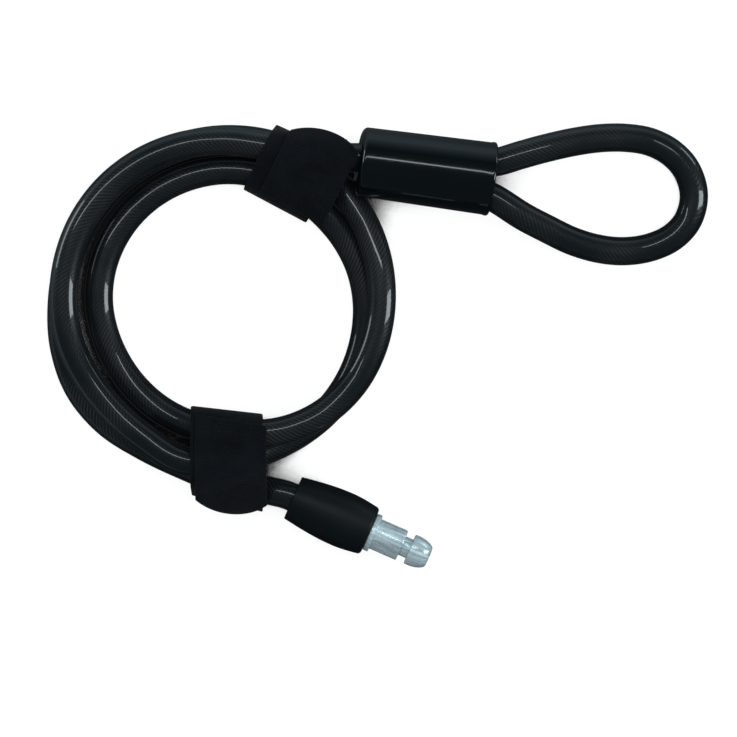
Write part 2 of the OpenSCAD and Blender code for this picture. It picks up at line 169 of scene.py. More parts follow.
def coil_line():
    """Points of the coil: at each angle, the stations' distance and height, turned about its centre."""
    angles = np.arange(STATIONS[0, 0], STATIONS[-1, 0] + 0.1, RING_STEP)
    r, z = through(STATIONS[:, 0], STATIONS[:, 1:], angles).T
    a = np.radians(angles)
    return np.stack([COIL_MID[0] + r * np.cos(a), COIL_MID[1] + r * np.sin(a), z], 1)


def main_line():
    """Points of the long run: out of the ferrule, round the coil and into the boot."""
    return np.vstack([
        cover_at(-13, 4.6), cover_at(-20, 3.1), cover_at(-28.5, 1.6), cover_at(-36, 0.8),
        (-24.6, 79.2, 20.8), (-34.5, 80.9, 20.9), coil_line(),
        (-50.6, -60.7, 8.6), (-44.5, -62, 10.4),
        boot_at(-BOOT_L - 3), boot_at(-30), boot_at(-BARREL_L - SEAT_GAP)])


def eye_line():
    """Points of the eye: out of the cover, round the loop and back into the cover."""
    return np.vstack([
        cover_at(18.5, 6.2), cover_at(24, 6.6), cover_at(30, 7.6), (60, 79.4, 14.6), (70, 82.2, 13.2),
        (82, 85, 11), (94, 86.8, 8.8), (105, 87, 6.6), (115, 85.4, 5), (124, 80.8, 4.8),
        (130.6, 73.4, 4.8), (133.6, 63, 4.8), (131.2, 52.6, 4.8), (124.6, 45.2, 4.8),
        (115, 40.8, 5), (104, 39.2, 6.6), (93, 40.2, 8.8), (82, 43.4, 11), (71, 48.6, 13.2),
        (61, 53.8, 14.6), cover_at(30, -7.6), cover_at(24, -6.6), cover_at(18.5, -6.2)])


def rope_line():
    """Points of the rope: from the pin back along the cable, through the ferrule, round the eye and back."""
    return np.vstack([
        boot_at(-2.5), main_line()[::-1], cover_at(-8, 5.6), cover_at(15, 5.6), eye_line(),
        cover_at(15, -5.6), cover_at(-9.5, -5.6)])


def smooth_line(points, step):
    """The cubic through the points against their distance, then points on it at equal steps, in metres."""
    reach = np.append(0, np.cumsum(np.linalg.norm(np.diff(points, axis=0), axis=1)))
    fine = through(reach, points, np.linspace(0, reach[-1], 12 * len(points)))
    far = np.append(0, np.cumsum(np.linalg.norm(np.diff(fine, axis=0), axis=1)))
    at = np.linspace(0, far[-1], int(far[-1] / step) + 1)
    return np.stack([np.interp(at, far, fine[:, k]) for k in range(3)], 1) * MM, at * MM


def unit(vectors):
    """The vectors with a length of one."""
    return vectors / np.linalg.norm(vectors, axis=1)[:, None]


def frames(line):
    """At each point of a line, its side (level, square to it) and its up (square to both)."""
    ahead = unit(np.gradient(line, axis=0))
    side = unit(np.cross([0.0, 0.0, 1.0], ahead))
    return side, np.cross(ahead, side)


# -------------------- meshes


def skin(name, points, uv, closed=True):
    """A mesh from rows of rings: points (rows, ring, 3), each ring closed, with the rows closed too or
    their ends drawn together by the caller. uv is one longer each way that is closed. Faces point out:
    the sum of each face's centre times its area vector is the volume, and a negative one turns them."""
    n, m = points.shape[:2]
    rows = n if closed else n - 1
    i, j = np.meshgrid(np.arange(rows), np.arange(m), indexing="ij")
    corners = [(i, j), (i, j + 1), (i + 1, j + 1), (i + 1, j)]
    faces = np.stack([(a % n) * m + b % m for a, b in corners], -1).reshape(-1, 4)
    coords = np.stack([uv[a, b] for a, b in corners], -2).reshape(-1, 4, 2)
    flat = points.reshape(-1, 3)
    a, b, c, d = (flat[faces[:, k]] for k in range(4))
    if (np.cross(c - a, d - b) * (a + b + c + d)).sum() < 0:
        faces, coords = faces[:, ::-1], coords[:, ::-1]
    return mesh_object(name, flat, faces, coords)


def mesh_object(name, points, faces, uv=None):
    """A smooth mesh object from arrays; points that coincide become one."""
    mesh = bpy.data.meshes.new(name)
    mesh.from_pydata(points.tolist(), [], faces.tolist())
    if uv is not None:
        mesh.uv_layers.new(name=UV).data.foreach_set("uv", np.ascontiguousarray(uv).ravel())
    piece = bpy.data.objects.new(name, mesh)
    bpy.context.scene.collection.objects.link(piece)
    work = bmesh.new()
    work.from_mesh(mesh)
    bmesh.ops.remove_doubles(work, verts=work.verts, dist=1e-7)
    work.to_mesh(mesh)
    work.free()
    mesh.polygons.foreach_set("use_smooth", np.ones(len(mesh.polygons), bool))
    mesh.update()
    return piece


def uv_grid(across, along):
    """UV coordinates of a grid from its values across (per ring point) and along (per row)."""
    return np.stack(np.broadcast_arrays(across[None, :], along[:, None]), -1)


def pipe(name, line, at, radius, bore, sides=40):
    """A hollow tube: each row of the line gets a ring, line + r (cos a side + sin a up), first at the
    outer radius forwards and then at the bore's backwards. No point is lower than the floor."""
    side, up = frames(line)
    a = 2 * np.pi * np.arange(sides + 1) / sides
    turn = np.cos(a[:-1])[None, :, None] * side[:, None] + np.sin(a[:-1])[None, :, None] * up[:, None]
    grid = np.concatenate([line[:, None] + radius * turn, (line[:, None] + bore * turn)[::-1]])
    grid[..., 2] = np.maximum(grid[..., 2], 0)
    rows = np.concatenate([at, at[::-1], at[:1]])
    return skin(name, grid, uv_grid(np.arange(sides + 1) / sides, rows))


def turned(name, profile, place, sides=128, closed=True):
    """A turned piece: each profile point (radius, along, shift) goes round the axis as
    place(along, shift + r cos a, r sin a)."""
    profile = np.asarray(profile, float)
    a = 2 * np.pi * np.arange(sides + 1) / sides
    r, s, shift = (profile[:, k:k + 1] for k in range(3))
    grid = place(s + 0 * a[:-1], shift + r * np.cos(a[:-1]), r * np.sin(a[:-1])) * MM
    length = np.append(0, np.cumsum(np.hypot(*np.diff(profile[:, :2], axis=0).T)))
    if closed:
        length = np.append(length, length[-1] + np.hypot(*(profile[0] - profile[-1])[:2]))
    return skin(name, grid, uv_grid(np.arange(sides + 1) / sides, length * MM), closed)


def arc(mid, radius, start, end, count):
    """Points (radius, along) of an arc about mid between two angles in degrees."""
    a = np.radians(np.linspace(start, end, count))
    return np.stack([mid[0] + radius * np.cos(a), mid[1] + radius * np.sin(a)], 1)


def level(points, shift=0.0):
    """Profile points with a shift of their centre."""
    points = np.asarray(points, float).reshape(-1, 2)
    return np.column_stack([points, np.full(len(points), shift)])


def walls(sides, levels):
    """Faces between rings of points, one ring after the other."""
    return [(sides * k + j, sides * k + (j + 1) % sides, sides * (k + 1) + (j + 1) % sides,
             sides * (k + 1) + j) for k in range(levels) for j in range(sides)]


def copies(name, template, faces, origins, axes):
    """One mesh of many copies of a template: each point is origin + x e1 + y e2 + z e3."""
    points = origins[:, None] + np.einsum("vk,nkc->nvc", template, axes)
    shift = (np.arange(len(origins)) * len(template))[:, None, None]
    return mesh_object(name, points.reshape(-1, 3), (faces[None] + shift).reshape(-1, faces.shape[1]))


# -------------------- straps, in millimetres

TAPE_W, BELT_R, TAPE_T, PAD_T, MOVE_GAP, SEWN_GAP = 30.0, 6.4, 1.2, 0.8, 0.3, 0.05
FOOT = TAPE_T + BELT_R
TAIL_R = BELT_R + TAPE_T + MOVE_GAP + PAD_T
TAIL_STEPS = 14

# The hook pad: the shares of the tail's length where it starts and ends, its share of the tape's
# width, and how thick its backing is
PAD_REACH = (0.5, 13 / TAIL_STEPS)
PAD_SHARE = 0.75
BACK_T = 0.3

# Corners of each strap's section at its two edges [outwards, up]: inner foot, outer foot, outer top,
# inner top
STRAPS = {
    "upper": {
        "at": (-64.2, 17.3, -27), "shift": 7.0, "long": 42.0, "tip": 22.0,
        "band": [[(53.7, FOOT), (69.3, FOOT), (66.4, 21.7), (54.2, 9.8)],
                 [(53.2, FOOT), (70.6, FOOT), (76.9, 21.2), (53.2, 10.2)]],
        "tail": [[(53.7, FOOT), (80.0, 11.0), (66.4, 21.7), (54.2, 9.8)],
                 [(53.2, FOOT), (91.0, 10.0), (76.9, 21.2), (53.2, 10.2)]]},
    "lower": {
        "at": (-63.4, 0.0, 180), "shift": -2.0, "long": 46.0, "tip": 20.0,
        "band": [[(37.0, FOOT), (63.2, FOOT), (47.0, 22.4), (37.0, 22.8)],
                 [(33.6, FOOT), (56.2, FOOT), (53.5, 21.0), (33.6, 17.4)]],
        "tail": [[(37.0, FOOT), (63.2, 8.4), (47.0, 22.4), (37.0, 22.8)],
                 [(33.6, FOOT), (70.0, 6.8), (53.5, 21.0), (33.6, 17.4)]]},
}


def on_strap(strap, x, out, up):
    """A strap's point in the row frame, in metres: turned about the vertical, then moved."""
    mx, my, turn = strap["at"]
    c, s = np.cos(np.radians(turn)), np.sin(np.radians(turn))
    return np.stack(np.broadcast_arrays(mx + x * c - out * s, my + x * s + out * c, up), -1) * MM


def section(pair, x):
    """The four corners at a place across the tape: an even change between its two edges."""
    t = (x / TAPE_W + 0.5)[:, None, None]
    return np.array(pair[0], float) * (1 - t) + np.array(pair[1], float) * t


def sides_of(c):
    """Each side's unit direction and length, and the angle of its outward normal."""
    v = np.roll(c, -1, axis=1) - c
    d = np.linalg.norm(v, axis=2)
    return v / d[..., None], d, np.arctan2(v[..., 1], v[..., 0]) - np.pi / 2


def belt(pair, x, r, f):
    """Points of a belt at radius r round the corners, at fractions f of its length from the middle of
    its foot: arcs of r at the corners, and straight sides a distance r outside them."""
    c = section(pair, x)
    u, d, n = sides_of(c)
    before = np.roll(n, 1, axis=1)
    turn = np.mod(n - before, 2 * np.pi)
    lengths = np.stack([r[:, None] * turn, d], 2).reshape(len(x), 8)
    ends = np.cumsum(lengths, 1)
    s = np.mod(f[:, None] * ends[None, :, -1] + ends[None, :, 0] + d[None, :, 0] / 2, ends[None, :, -1])
    k = np.minimum((s[..., None] >= ends[None]).sum(-1), 7)
    start = np.take_along_axis((ends - lengths)[None], k[..., None], 2)[..., 0]
    i = k // 2
    j = np.arange(len(x))[None]
    w = before[j, i] + (s - start) / r[None]
    bend = c[j, i] + r[None, :, None] * np.stack([np.cos(w), np.sin(w)], -1)
    normal = np.stack([np.cos(n[j, i]), np.sin(n[j, i])], -1)
    run = c[j, i] + r[None, :, None] * normal + (s - start)[..., None] * u[j, i]
    return np.where((k % 2 == 0)[..., None], bend, run), ends[:, -1]


def tail(pair, x, r, s):
    """Points of a tail at radius r and distances s from its root: back round the inner top corner, along
    the top, round the outer top corner, and straight on towards the outer foot."""
    c = section(pair, x)
    u, d, n = sides_of(c)
    bend3 = np.mod(n[:, 3] - n[:, 2], 2 * np.pi) / 4
    bend2 = np.mod(n[:, 2] - n[:, 1], 2 * np.pi)
    a = r * bend3
    b = a + d[:, 2]
    e = b + r * bend2

    def rim(corner, angle):
        return c[:, corner] + r[..., None] * np.stack([np.cos(angle), np.sin(angle)], -1)
    first = rim(3, n[:, 2] + (a - s) / r)
    top = rim(3, n[:, 2] + 0 * s) - (s - a)[..., None] * u[:, 2]
    over = rim(2, n[:, 2] - (s - b) / r)
    down = rim(2, n[:, 1] + 0 * s) - (s - e)[..., None] * u[:, 1]
    return np.where((s < a)[..., None], first, np.where(
        (s < b)[..., None], top, np.where((s < e)[..., None], over, down)))


def tape_section(half, thick, count=30, edge=5):
    """The outline of a tape's cut: across (from -1 to 1) and height over its middle, up one face, round
    the edge, back along the other and round again. The edges are half rounds."""
    a = np.radians(np.linspace(90, -90, edge + 2))[1:-1]
    k = thick / 2 / half
    face = np.linspace(-1 + k, 1 - k, count)
    x = np.concatenate([face, 1 - k + k * np.cos(a), face[::-1], -1 + k - k * np.cos(a)])
    h = np.concatenate([np.ones(count), np.sin(a), -np.ones(count), -np.sin(a)]) * thick / 2
    return x, h


# -------------------- materials


class Signal:
    """A socket in a material's nodes. Arithmetic on it adds Math nodes, and make adds any other node."""

    def __init__(self, tree, socket=None):
        self.tree = tree
        self.socket = socket

    def make(self, kind, settings=(), inputs=(), output=0):
        """Add a node: its settings first, then its inputs by name or number."""
        node = self.tree.nodes.new(kind)
        for name, value in dict(settings).items():
            setattr(node, name, value)
        for key, value in dict(inputs).items():
            if isinstance(value, Signal):
                self.tree.links.new(value.socket, node.inputs[key])
            else:
                node.inputs[key].default_value = value
        return Signal(self.tree, node.outputs[output])

    def math(self, operation, *values, clamp=False):
        """A Math node on these values."""
        return self.make("ShaderNodeMath", {"operation": operation, "use_clamp": clamp},
                         dict(enumerate(values)))

    def __add__(self, other):
        return self.math("ADD", self, other)

    def __radd__(self, other):
        return self.math("ADD", other, self)

    def __sub__(self, other):
        return self.math("SUBTRACT", self, other)

    def __rsub__(self, other):
        return self.math("SUBTRACT", other, self)

    def __mul__(self, other):
        return self.math("MULTIPLY", self, other)

    def __rmul__(self, other):
        return self.math("MULTIPLY", other, self)

    def __pow__(self, other):
        return self.math("POWER", self, other)

    def __rpow__(self, other):
        return self.math("POWER", other, self)

    def sin(self):
        """The sine of the value."""
        return self.math("SINE", self)

    def clamp(self):
        """The value held between 0 and 1."""
        return self.math("ADD", self, 0.0, clamp=True)

    def uv(self):
        """The piece's own surface coordinates, as two values."""
        whole = self.make("ShaderNodeUVMap", {"uv_map": UV})
        return [self.make("ShaderNodeSeparateXYZ", (), {0: whole}, k) for k in range(2)]

    def place(self):
        """Object coordinates."""
        return self.make("ShaderNodeTexCoord", output=3)

    def noise(self, scale, detail=2.0, vector=None, roughness=0.5):
        """Noise between 0 and 1."""
        return self.make("ShaderNodeTexNoise", (), {
            "Vector": vector or self.place(), "Scale": scale, "Detail": detail, "Roughness": roughness})

    def mix(self, amount, low, high):
        """Between two colours."""
        return self.make("ShaderNodeMix", {"data_type": "RGBA"}, {
            0: amount, 6: (*low, 1.0), 7: (*high, 1.0)}, 2)

    def bump(self, height, distance, strength=1.0):
        """A surface normal from a height between 0 and 1 and what it stands for in metres."""
        return self.make("ShaderNodeBump", (), {
            "Height": height, "Distance": distance, "Strength": strength})

    def matt(self, tone):
        """A grey diffuse shader."""
        return self.make("ShaderNodeBsdfDiffuse", (), {"Color": (tone, tone, tone, 1.0)})

    def glow(self, strength, tint=(1.0, 1.0, 1.0), kind="ShaderNodeEmission"):
        """A shader that gives light of one colour."""
        return self.make(kind, (), {"Color": (*tint, 1.0), "Strength": strength})

    def either(self, amount, low, high):
        """Between two shaders."""
        return self.make("ShaderNodeMixShader", (), {0: amount, 1: low, 2: high})


def shaded(made, shader, output="ShaderNodeOutputMaterial"):
    """Give a material or a world the nodes that shader(signal) builds."""
    made.use_nodes = True
    tree = made.node_tree
    tree.nodes.clear()
    out = tree.nodes.new(output)
    tree.links.new(shader(Signal(tree)).socket, out.inputs[0])
    return made


def material(name, varying, **constants):
    """A Principled material that its pieces share, made the first time that it is asked for: constants
    on its sockets, and what varying(signal) returns linked to them."""
    def shader(s):
        values = {key.replace("_", " "): value for key, value in constants.items()}
        return s.make("ShaderNodeBsdfPrincipled", (), {**values, **varying(s)})
    return bpy.data.materials.get(name) or shaded(bpy.data.materials.new(name), shader)


def colours():
    """The colours that the panel shows."""
    return bpy.context.scene.cable_lock_colours


def shade(colour, factor=1.0):
    """A colour, lighter or darker by a factor."""
    return tuple(factor * k for k in colour)


def sizes():
    """The sizes that the panel shows."""
    return bpy.context.scene.cable_lock_sizes


def sheath_finish():
    """Smoky glossy plastic: the rope's strands show through as fine diagonal lines under a clear coat."""
    def varying(s):
        u, v = s.uv()
        lead = sizes().rope_lead
        strands = (((u - v * (1.0 / lead)) * (18.0 * 2 * np.pi)).sin() * 0.5 + 0.5) ** 3.0
        wires = ((u * 60.0 + v * (108.0 / lead)) * (2 * np.pi)).sin() * 0.5 + 0.5
        cloud = s.noise(34.0, 3.0)
        seen = (strands * (wires * 0.4 + 0.6) * (cloud * 4.0 - 1.5)).clamp()
        return {
            "Base Color": s.mix(seen, shade(colours().sheath), shade(colours().strand)),
            "Roughness": cloud * 0.16 + 0.26,
            "Normal": s.bump(strands, 0.0001, 0.35)}
    return material("Smoky sheath", varying, Coat_Weight=1.0, Coat_Roughness=0.045, Coat_IOR=1.45,
                    Specular_IOR_Level=0.25)


def rope_finish():
    """Galvanised strands with fine wires and grease in the hollows."""
    def varying(s):
        u, v = s.uv()
        wires = ((u * 48.0 - v * 2600.0) * (2 * np.pi)).sin() * 0.5 + 0.5
        grime = s.noise(260.0, 4.0)
        return {
            "Base Color": s.mix((grime * 1.6 - 0.4).clamp(), (0.20, 0.19, 0.18), (0.52, 0.53, 0.55)),
            "Roughness": grime * 0.3 + 0.25,
            "Normal": s.bump(wires, 0.00012, 0.7)}
    return material("Galvanised rope", varying, Metallic=1.0)


def crimp_finish():
    """Pressed aluminium with tool marks."""
    def varying(s):
        marks = s.noise(420.0, 5.0)
        broad = s.noise(60.0, 2.0)
        return {
            "Base Color": s.mix(broad, (0.50, 0.51, 0.53), (0.66, 0.67, 0.69)),
            "Roughness": marks * 0.35 + 0.25,
            "Normal": s.bump(marks, 0.00006, 0.6)}
    return material("Pressed ferrule", varying, Metallic=1.0)


def cover_finish():
    """Gloss black plastic with a faint swell of the surface and fine handling marks."""
    def varying(s):
        swell = s.noise(45.0, 1.0)
        fine = s.noise(900.0, 4.0)
        return {
            "Base Color": s.mix(swell, shade(colours().cover), shade(colours().cover, 1.5)),
            "Roughness": swell * 0.05 + fine * 0.05 + 0.11,
            "Normal": s.bump(swell, 0.00010, 0.35)}
    return material("Gloss cover", varying, Specular_IOR_Level=0.3, Coat_Weight=0.55, Coat_Roughness=0.05)


def boot_finish():
    """Satin black moulding with a fine eroded grain."""
    def varying(s):
        grain = s.noise(1500.0, 3.0)
        broad = s.noise(55.0, 2.0)
        return {
            "Base Color": s.mix(broad, shade(colours().boot), shade(colours().boot, 1.7)),
            "Roughness": grain * 0.12 + broad * 0.08 + 0.36,
            "Normal": s.bump(grain, 0.00003, 0.5)}
    return material("Satin boot", varying, Specular_IOR_Level=0.30)


def plating_finish():
    """Satin plated steel, with fine streaks along it and the rings that the lathe's tool left."""
    def varying(s):
        u, v = s.uv()
        rings = (v * (2 * np.pi / 0.0011)).sin() * 0.5 + 0.5
        lines = s.noise(1.0, 2.0, s.make("ShaderNodeCombineXYZ", (), {0: u * 34.0, 1: v * 40.0}), 0.6)
        cloud = s.noise(420.0, 1.0)
        worn = (lines * 2.6 + cloud * 0.3 - 0.95).clamp()
        return {
            "Base Color": s.mix(worn, shade(colours().steel, 0.48), shade(colours().steel)),
            "Roughness": cloud * 0.18 + 0.20,
            "Normal": s.bump(rings * 0.15 + lines * 0.85, 0.00003, 0.4)}
    return material("Satin plating", varying, Metallic=0.45, Specular_IOR_Level=0.8)


def tape_finish():
    """Woven tape: cross ribs, the warp threads that bind them, and a nap that catches the light."""
    def varying(s):
        u, v = s.uv()
        ribs = (v * (2 * np.pi / sizes().rib_pitch)).sin() * 0.5 + 0.5
        warp = (u * (2 * np.pi / 0.0006) + (v * (np.pi / sizes().rib_pitch)).sin() * 1.2
                ).sin() * 0.5 + 0.5
        fuzz = s.noise(2200.0, 4.0)
        worn = s.noise(80.0, 3.0)
        tone = (ribs * (0.35 + warp * 0.35) + fuzz * 0.7 + worn * 0.9 - 0.75).clamp()
        return {
            "Base Color": s.mix(tone, shade(colours().tape, 0.5), shade(colours().tape, 2.6)),
            "Roughness": fuzz * 0.15 + 0.80,
            "Normal": s.bump(warp * 0.4 + ribs * 0.6 + fuzz * 0.4, 0.00016, 0.8)}
    return material("Woven tape", varying, Sheen_Weight=0.03, Sheen_Roughness=0.5,
                    Specular_IOR_Level=0.12)


def hook_finish():
    """Moulded nylon hooks, a little glossier than the tape."""
    def varying(s):
        cloud = s.noise(700.0, 3.0)
        return {
            "Base Color": s.mix(cloud, (0.004, 0.0042, 0.005), (0.010, 0.010, 0.012)),
            "Roughness": cloud * 0.2 + 0.45,
            "Normal": s.bump(cloud, 0.00003, 0.5)}
    return material("Nylon hooks", varying, Specular_IOR_Level=0.4)


def thread_finish():
    """Twisted sewing thread."""
    def varying(s):
        twist = s.noise(3200.0, 2.0)
        return {
            "Base Color": s.mix(twist, shade(colours().thread, 0.7), shade(colours().thread, 1.4)),
            "Roughness": twist * 0.2 + 0.55,
            "Normal": s.bump(twist, 0.00005, 0.7)}
    return material("Sewing thread", varying, Sheen_Weight=0.03, Specular_IOR_Level=0.15)


def finish_with(piece, made):
    """Give a piece one material."""
    piece.data.materials.clear()
    piece.data.materials.append(made)


def dress(piece, made, body, solid=None):
    """Give a piece its material and its body, and hide the solid that it takes the place of."""
    finish_with(piece, made)
    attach(piece, body)
    if solid:
        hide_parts(solid)
    return piece


# -------------------- stage


class CABLELOCK_OT_stage(bpy.types.Operator):
    """Build the floor, the lamps, the world and the camera"""

    bl_idname = "cable_lock.stage"
    bl_label = "Stage"

    # The view: how high the camera is, how many picture points wide and how large a point is at a
    # plane over the floor, and what the camera is over
    height = 2.4
    points_wide = 737
    point = 0.421 * MM
    plane = 12 * MM
    view_mid = (-3.8 * MM, -10.3 * MM)

    def execute(self, context):
        scene = context.scene
        scene.view_settings.view_transform = "Standard"
        self.camera(scene)
        self.floor()
        self.card()
        self.world(scene)
        self.lamps()
        return {"FINISHED"}

    def camera(self, scene):
        """Straight above, with a lens that fits the width of the view at the cable's height."""
        data = bpy.data.cameras.new("camera")
        data.sensor_width = 36.0
        data.lens = data.sensor_width * (self.height - self.plane) / (self.points_wide * self.point)
        data.clip_end = 20.0
        camera = bpy.data.objects.new("camera", data)
        camera.location = (*self.view_mid, self.height)
        scene.collection.objects.link(camera)
        scene.camera = camera

    def sheet(self, name, corners, made):
        """A flat sheet between four corners."""
        mesh = bpy.data.meshes.new(name)
        mesh.from_pydata(corners, [], [(0, 1, 2, 3)])
        mesh.materials.append(made)
        piece = bpy.data.objects.new(name, mesh)
        bpy.context.scene.collection.objects.link(piece)
        return piece

    def floor(self):
        """A large sheet just under the lock. The camera sees it white, with painted shade, a near-black
        floor, where the lock nearly closes it in. Gloss sees it dim, and brighter beyond the coil on two
        sides. Other light sees paper."""
        half, low, cool = 4.0, -1e-4, (0.70, 0.9, 1.0)

        def shader(s):
            direct, glossy, through_rays = (s.make("ShaderNodeLightPath", output=k) for k in (
                "Is Camera Ray", "Is Glossy Ray", "Is Transmission Ray"))
            west, north = (s.make("ShaderNodeSeparateXYZ", (), {0: s.place()}, k) for k in range(2))
            beyond = s.math("MAXIMUM", (north - 0.085) * 9.0, (-0.14 - west) * 9.0, clamp=True)
            # Painted shade: where ambient occlusion finds the lock close round the floor, as in the coil's
            # narrow gaps, the camera sees near-black matt in place of white
            ao_for_painted_shade = s.make("ShaderNodeAmbientOcclusion", {"samples": 20}, {"Distance": 0.03}, 1)
            lit = s.make("ShaderNodeAddShader", (), {0: s.matt(0.18), 1: s.glow(0.89)})
            white = s.either((ao_for_painted_shade * 14.0 - 4.2).clamp(), s.matt(0.02), lit)
            mirrored = s.either(beyond, s.glow(0.03, cool), s.glow(0.42, cool))
            unseen = s.either(glossy, s.matt(0.8), mirrored)
            return s.either((direct + through_rays).clamp(), unseen, white)
        corners = [(-half, -half, low), (half, -half, low), (half, half, low), (-half, half, low)]
        self.sheet("floor", corners, shaded(bpy.data.materials.new("White floor"), shader))

    def card(self):
        """An upright sheet beyond the cover's side that glows more towards its foot, for the gloss alone."""
        half, far, foot, top, fade = 1.8, 1.2, -0.05, 1.3, 1.15

        def shader(s):
            height = s.make("ShaderNodeSeparateXYZ", (), {0: s.place()}, 2)
            return s.either((1.0 - height * (1.0 / fade)).clamp() ** 1.8,
                            s.glow(0.06, (0.55, 0.82, 1.0)), s.glow(0.62, (0.66, 0.88, 1.0)))
        corners = [(-half, far, top), (half, far, top), (half, far, foot), (-half, far, foot)]
        card = self.sheet("card", corners, shaded(bpy.data.materials.new("Graded card"), shader))
        card.visible_camera = card.visible_diffuse = card.visible_shadow = False

    def world(self, scene):
        """A dim even room that the camera sees as white."""
        def shader(s):
            return s.either(s.make("ShaderNodeLightPath", output="Is Camera Ray"),
                            s.glow(0.09, (0.62, 0.88, 1.0), "ShaderNodeBackground"),
                            s.glow(1.0, kind="ShaderNodeBackground"))
        scene.world = shaded(bpy.data.worlds.new("room"), shader, "ShaderNodeOutputWorld")

    def lamps(self):
        """A wide fill that no gloss shows, a strip beyond the cover's side, a tall box at the right, and low
        boxes at the left and beyond the eye."""
        self.lamp("fill", (0.0, 0.0, 1.9), (0, 0, 0), (2.4, 2.4), 38.0, glossy=False,
                  tint=(0.97, 0.985, 1.0))
        self.lamp("strip", (-0.24, 0.44, 1.25), (-0.24, 0, 0), (1.44, 0.075), 2.6)
        self.lamp("box", (1.15, 0.05, 0.62), (0, 0, 0), (0.30, 0.80), 5.6)
        self.lamp("low_left", (-0.92, 0.38, 0.15), (0, 0, 0.02), (0.40, 0.22), 1.2)
        self.lamp("low_right", (0.85, 0.66, 0.08), (0.1, 0.05, 0.02), (0.30, 0.12), 0.6)

    def lamp(self, name, place, target, size, power, glossy=True, tint=(0.86, 0.95, 1.0)):
        """An area lamp of some watts at a place, turned to a target, that the camera doesn't see."""
        data = bpy.data.lights.new(name, "AREA")
        data.shape = "RECTANGLE"
        data.size, data.size_y = size
        data.energy = power
        data.color = tint
        lamp = bpy.data.objects.new(name, data)
        bpy.context.scene.collection.objects.link(lamp)
        lamp.location = place
        away = np.array(place, float) - np.array(target, float)
        lamp.rotation_euler = (np.arctan2(np.hypot(*away[:2]), away[2]), 0.0,
                               np.arctan2(away[0], -away[1]) if np.hypot(*away[:2]) > 1e-6 else 0.0)
        lamp.visible_camera = False
        lamp.visible_glossy = glossy


# -------------------- cable, eye and rope


def sheathed(name, points, solid):
    """A tube of sheath along a route, and the line in its middle."""
    line, at = smooth_line(points, 1.0)
    piece = pipe(name, line, at, sizes().cable_diameter / 2, ROPE_BORE)
    return dress(piece, sheath_finish(), "lock", solid), line


class CABLELOCK_OT_cable(bpy.types.Operator):
    """Build the sheathed cable of the coil"""

    bl_idname = "cable_lock.cable"
    bl_label = "Cable"

    def execute(self, context):
        piece, line = sheathed("cable_sheath", main_line(), "main_sheath")
        tuple(cover_at(-28.65, 1.6) * MM)
        return {"FINISHED"}


class CABLELOCK_OT_eye(bpy.types.Operator):
    """Build the sheathed loop of the eye"""

    bl_idname = "cable_lock.eye"
    bl_label = "Eye"

    def execute(self, context):
        piece, line = sheathed("eye_loop", eye_line(), "eye_sheath")
        tuple(cover_at(28.65, 7.4) * MM)
        return {"FINISHED"}


class CABLELOCK_OT_rope(bpy.types.Operator):
    """Build the stranded wire rope inside the sheath, and finish the ferrule that holds it"""

    bl_idname = "cable_lock.rope"
    bl_label = "Rope"

    strands = 6
    sides = 36

    def execute(self, context):
        line, at = smooth_line(rope_line(), 1.2)
        side, up = frames(line)
        a = 2 * np.pi * np.arange(self.sides) / self.sides
        # Outline of six round strands about a core: the far side of a circle a third of the rope wide
        r = sizes().rope_diameter / 2
        pitch_r, strand_r = r * 2 / 3, r / 3
        local = np.mod(a[None] - 2 * np.pi * at[:, None] / sizes().rope_lead + np.pi / self.strands,
                       2 * np.pi / self.strands) - np.pi / self.strands
        rho = pitch_r * np.cos(local) + np.sqrt(np.maximum(strand_r ** 2 - (pitch_r * np.sin(local)) ** 2, 0))
        rho[0] = rho[-1] = 0
        grid = line[:, None] + rho[..., None] * (
            np.cos(a)[None, :, None] * side[:, None] + np.sin(a)[None, :, None] * up[:, None])
        uv = uv_grid(np.arange(self.sides + 1) / self.sides, at)
        piece = skin("stranded_rope", grid, uv, closed=False)
        dress(piece, rope_finish(), "lock", "wire_rope")
        finish_with(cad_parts["ferrule"], crimp_finish())
        return {"FINISHED"}


# -------------------- cover, boot and pin


class CABLELOCK_OT_cover(bpy.types.Operator):
    """Build the hard cover over the ferrule"""

    bl_idname = "cable_lock.cover"
    bl_label = "Cover"

    def execute(self, context):
        half, edge, short, wall, lip = COVER_L / 2, 4.4, 2.6, 3.0, 0.25
        r_in, r_eye = COVER_D_IN / 2, COVER_D_EYE / 2
        # The cable's hole is off the axis at the closed end and runs aslant through its wall
        hole, off, slope = 6.4, 1.6, np.tan(np.radians(8))
        bore, bore_eye = r_in - COVER_WALL, r_eye - COVER_WALL
        # The closed end's edge is a quarter of an oval, longer outwards than along
        oval = arc((0, 0), 1, -90, 0, 13) * (edge, short) + (r_in - edge, short - half)
        profile = np.vstack([
            level((hole + 0.5, -half), off - 1.5 * slope),
            level(oval),
            level(np.linspace((r_in, short - half), (r_eye - lip, half - 2.6), 14)[1:]),
            level([(r_eye - 0.08, half - 1.9), (r_eye, half - 1.5)]),
            level(arc((r_eye - 1.1, half - 1.1), 1.1, 0, 90, 9)),
            level(arc((bore_eye + 0.3, half - 0.3), 0.3, 90, 180, 4)),
            level(np.linspace((bore_eye, half - 0.4), (bore, 15), 8)[1:]),
            level([(bore, 5), (bore, -8), (bore, -18)]),
            level(arc((bore - 1.2, wall - half + 1.2), 1.2, 0, -90, 5)),
            level((hole, wall - half), off + 1.5 * slope),
            level((hole, wall / 2 - half), off),
            level((hole, 0.5 - half), off - 1.0 * slope)])
        dress(turned("cover_shell", profile, cover_at), cover_finish(), "lock", "ferrule_cover")
        return {"FINISHED"}


